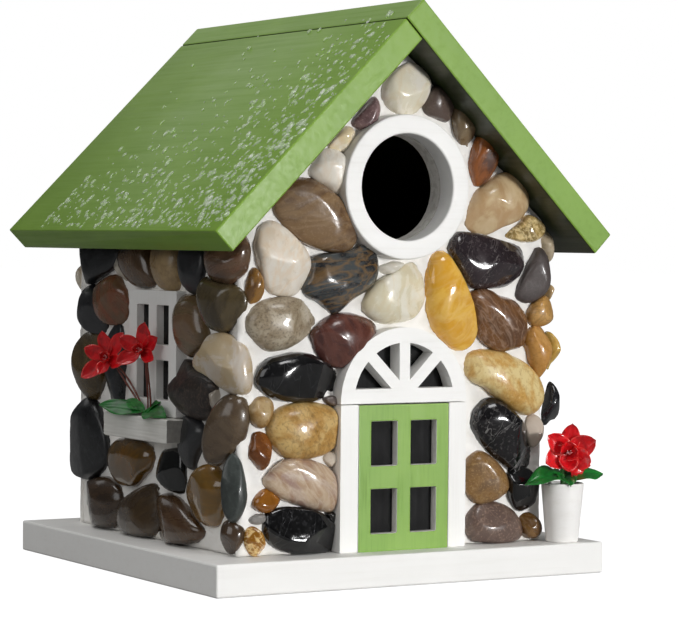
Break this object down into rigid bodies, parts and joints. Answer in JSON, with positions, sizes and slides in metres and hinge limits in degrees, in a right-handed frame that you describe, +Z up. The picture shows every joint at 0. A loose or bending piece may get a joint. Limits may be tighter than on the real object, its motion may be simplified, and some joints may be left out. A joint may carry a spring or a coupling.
{
  "type": "decorative cottage birdhouse",
  "caption": "Pebble-faced cottage birdhouse with a steep green roof, round entrance, painted door, lattice window with flower box, flower pot and a rear clean-out hatch.",
  "frame": {"origin": "centre of the base board's underside", "axes": "+Z up, -Y out of the front wall with the door and the entrance, -X out of the wall with the lattice window"},
  "size_m": [0.182, 0.194, 0.2286],
  "materials": {
    "white_paint": "matt white paint over wood",
    "green_paint": "satin leaf-green paint over wood",
    "black_paint": "matt black paint",
    "bare_wood": "sanded softwood",
    "river_pebble": "polished river pebbles in white mortar",
    "white_mortar": "trowelled white mortar",
    "red_plastic": "semi-gloss moulded petals",
    "leaf_plastic": "semi-gloss moulded leaves",
    "stem_plastic": "wrapped stem",
    "white_ceramic": "unglazed white ceramic",
    "soil": "dark foam plug",
    "zinc_steel": "zinc plated",
    "brass_screw": "plain brass",
    "rain_water": "clear drops of rain on the roof"
  },
  "bodies": {
    "house": {"base_board": "white_paint", "base_screw_1": "zinc_steel", "base_screw_2": "zinc_steel", "base_screw_3": "zinc_steel", "base_screw_4": "zinc_steel", "wall_front": "white_paint", "wall_back": "white_paint", "wall_left": "bare_wood", "wall_right": "bare_wood", "roof_panel_left": "green_paint", "roof_panel_right": "green_paint", "facing_front": "river_pebble", "facing_back": "river_pebble", "facing_left": "river_pebble", "facing_right": "river_pebble", "entrance_ring": "white_paint", "door_backing": "black_paint", "door_panel": "green_paint", "door_jamb_left": "white_paint", "door_jamb_right": "white_paint", "fanlight_arch": "white_paint", "window_backing": "black_paint", "window_lattice": "white_paint", "window_box": "white_paint", "window_stems": "stem_plastic", "window_blossom_low": "red_plastic", "window_blossom_high": "red_plastic", "window_leaves": "leaf_plastic", "flower_pot": "white_ceramic", "pot_fill": "soil", "pot_stem": "stem_plastic", "pot_blossom": "red_plastic", "pot_leaves": "leaf_plastic", "hatch_stop": "bare_wood", "turn_button_screw": "brass_screw"},
    "hatch": {"hatch_door": "white_paint", "hatch_pin_left": "zinc_steel", "hatch_pin_right": "zinc_steel", "hatch_knob": "bare_wood"},
    "latch": {"turn_button": "bare_wood"}
  },
  "joints": [
    {"name": "hatch_swing", "type": "hinge", "parent": "house", "child": "hatch", "pos_m": [0, 0.06575, 0.09045], "axis": [1, 0, 0], "range_deg": [0, 100]},
    {"name": "latch_turn", "type": "hinge", "parent": "house", "child": "latch", "pos_m": [0, 0.0712, 0.0302], "axis": [0, 1, 0], "range_deg": [0, 90]}
  ]
}
